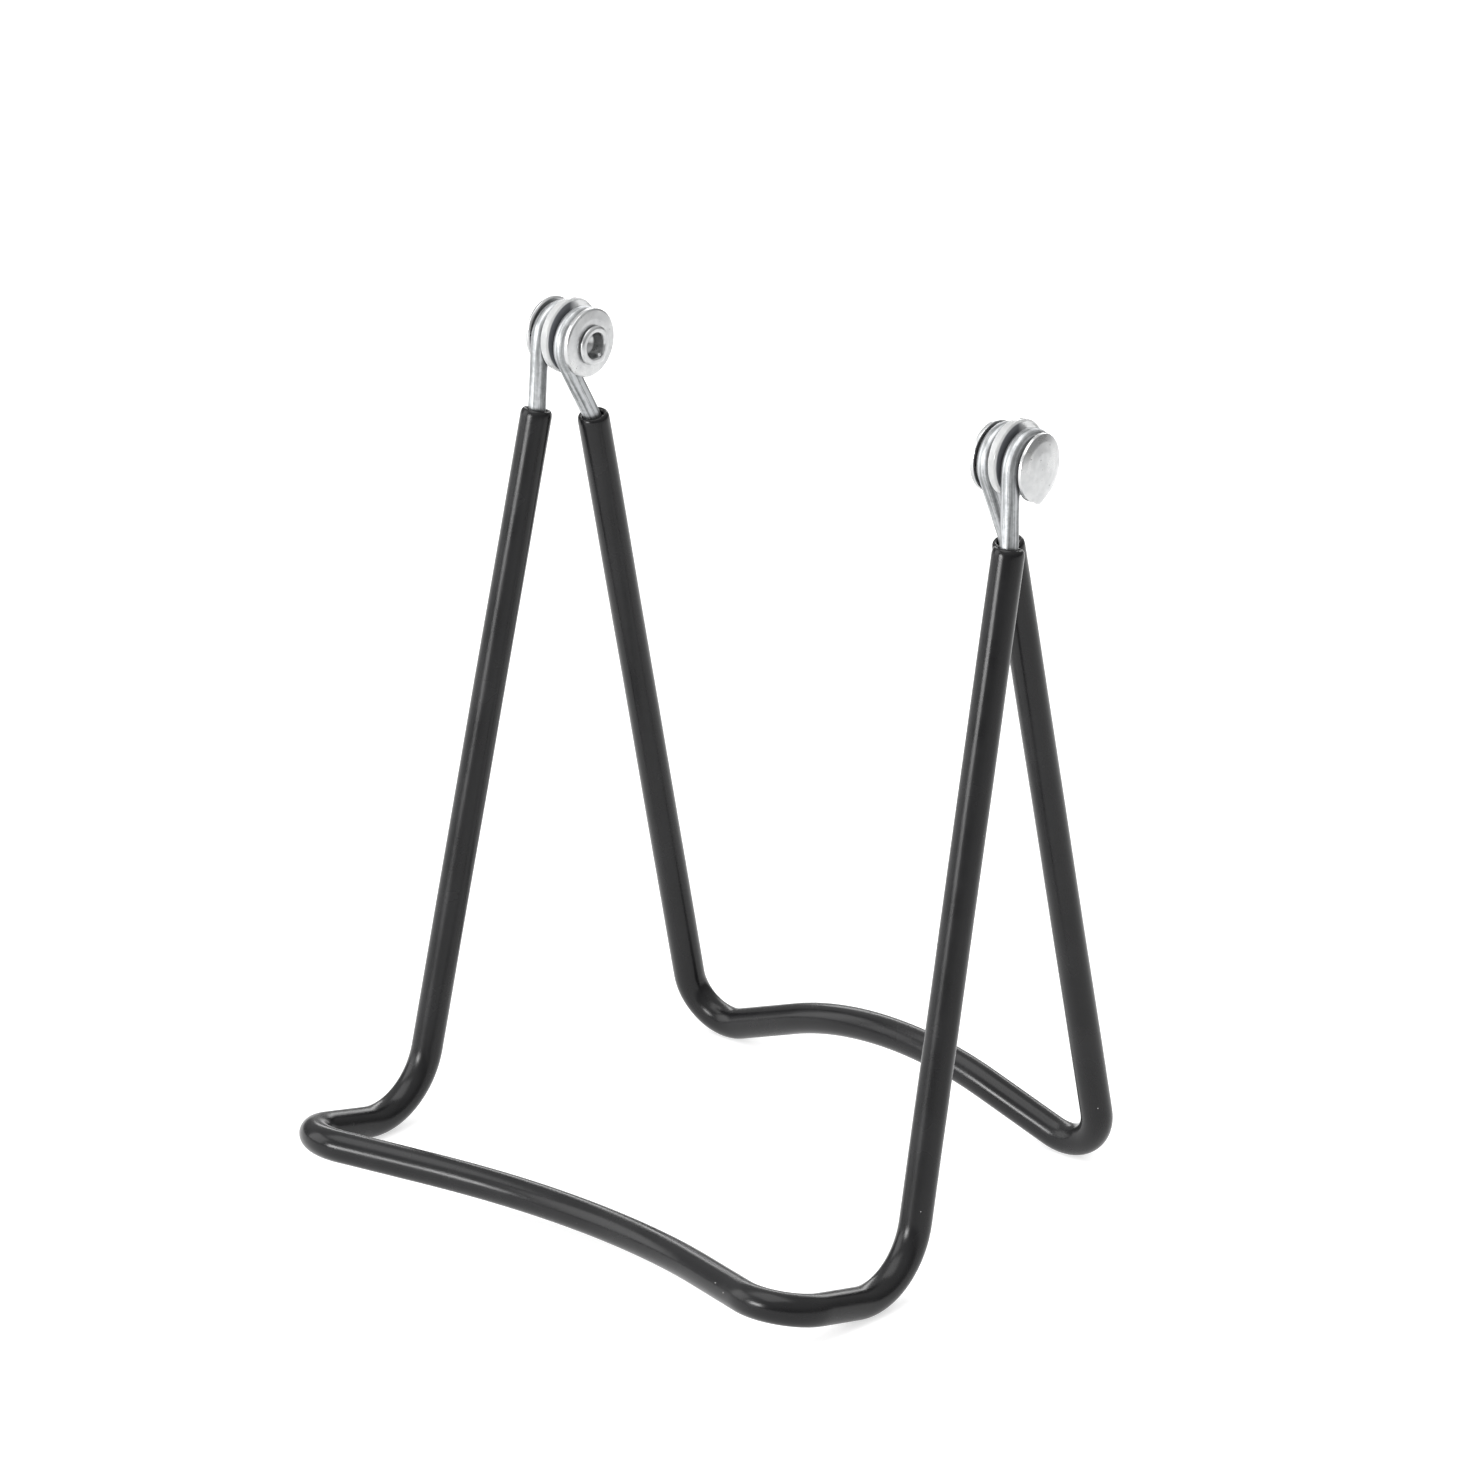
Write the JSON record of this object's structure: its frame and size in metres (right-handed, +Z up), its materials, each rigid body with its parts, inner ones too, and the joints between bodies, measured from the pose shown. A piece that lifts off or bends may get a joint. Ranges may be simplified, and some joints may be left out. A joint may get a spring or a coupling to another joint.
{
  "type": "folding wire easel",
  "caption": "Small folding easel of two vinyl-covered bent wire frames hinged on rivets, with a forward lip that holds a sheet, book or plate.",
  "frame": {"origin": "on the ground, in the middle of the footprint of the stand as it stands open", "axes": "+Z up, -Y towards the front lip, +X on the right of someone who faces the front; the hinge axis is parallel to X"},
  "size_m": [0.0906, 0.0766, 0.1109],
  "materials": {
    "zinc_wire": "drawn, zinc plated",
    "black_vinyl": "satin gloss",
    "nickel_steel": "bright nickel plate",
    "clear_nylon": "translucent natural"
  },
  "bodies": {
    "front_frame": {"front_wire": "zinc_wire", "front_sleeve": "black_vinyl", "left_rivet": "nickel_steel", "right_rivet": "nickel_steel", "left_clinch_washer": "nickel_steel", "right_clinch_washer": "nickel_steel", "left_friction_washer": "clear_nylon", "right_friction_washer": "clear_nylon"},
    "back_frame": {"back_wire": "zinc_wire", "back_sleeve": "black_vinyl"}
  },
  "joints": [
    {"name": "fold_hinge", "type": "hinge", "parent": "front_frame", "child": "back_frame", "pos_m": [0, 0.01269, 0.1053], "axis": [1, 0, 0], "range_deg": [-26, 150]}
  ]
}
